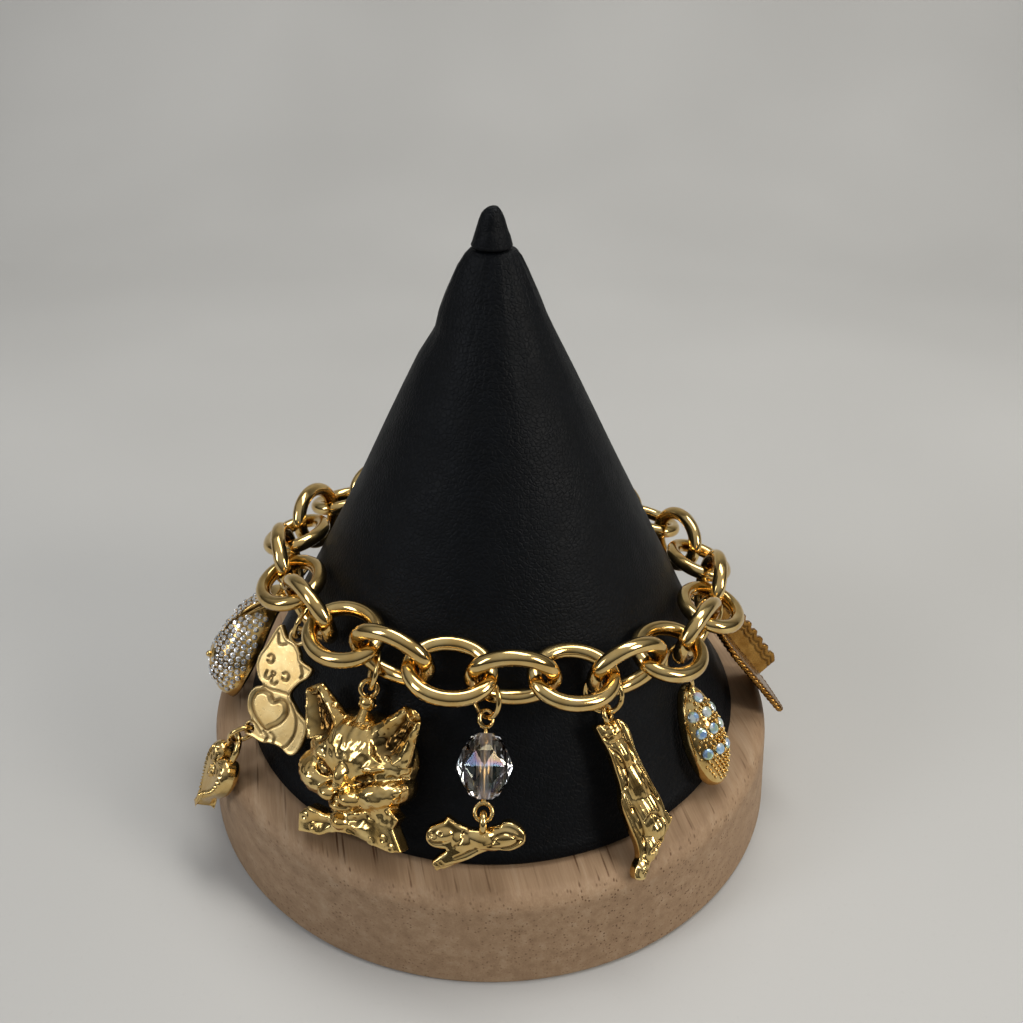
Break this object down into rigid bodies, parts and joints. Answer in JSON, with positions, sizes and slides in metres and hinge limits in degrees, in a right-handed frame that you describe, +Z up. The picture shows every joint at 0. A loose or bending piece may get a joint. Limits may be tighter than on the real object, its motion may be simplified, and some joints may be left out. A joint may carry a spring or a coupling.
{
  "type": "charm bracelet on cone display stand",
  "caption": "Gold link bracelet hung with cat, fish, padlock, egg and crystal charms, laid round a leather covered cone on a round bamboo base.",
  "frame": {"origin": "centre of the bamboo base's underside", "axes": "+Z up through the cone, -Y towards the front where the crystal drop hangs, +X to the right seen from the front"},
  "size_m": [0.0918, 0.0894, 0.0903],
  "materials": {
    "gold": "polished gold plate",
    "satin_gold": "satin gold plate with engraved lines",
    "dark_gold": "darkened gold plate",
    "crystal": "clear faceted glass",
    "leather": "black grained leather",
    "wood": "bare bamboo, grain across the top and speckled end grain round the side"
  },
  "bodies": {
    "root": {"bamboo_base": "wood", "leather_cone": "leather", "leather_tip": "leather", "link_01": "gold", "link_02": "gold", "link_03": "gold", "link_04": "gold", "link_05": "gold", "link_06": "gold", "link_07": "gold", "link_08": "gold", "link_09": "gold", "link_10": "gold", "link_11": "gold", "link_12": "gold", "link_13": "gold", "link_14": "gold", "link_15": "gold", "link_16": "gold", "link_17": "gold", "link_18": "gold", "link_19": "gold", "link_20": "gold", "link_21": "gold", "link_22": "gold", "link_23": "gold", "link_24": "gold", "clasp": "gold", "head_ring": "gold", "sitting_cat_ring": "gold", "padlock_ring": "gold", "crystal_ring": "gold", "standing_cat_ring": "gold", "egg_ring": "gold", "fish_ring": "gold", "rope_ring": "gold", "wave_ring": "gold", "cat_head": "gold", "eye_pin": "gold", "crouching_cat": "gold", "standing_cat": "gold", "stone_egg": "gold", "heart_padlock": "gold", "fish": "gold", "sitting_cat": "satin_gold", "rope_plaque": "dark_gold", "wavy_plaque": "dark_gold", "crystal_bead": "crystal"}
  },
  "joints": []
}
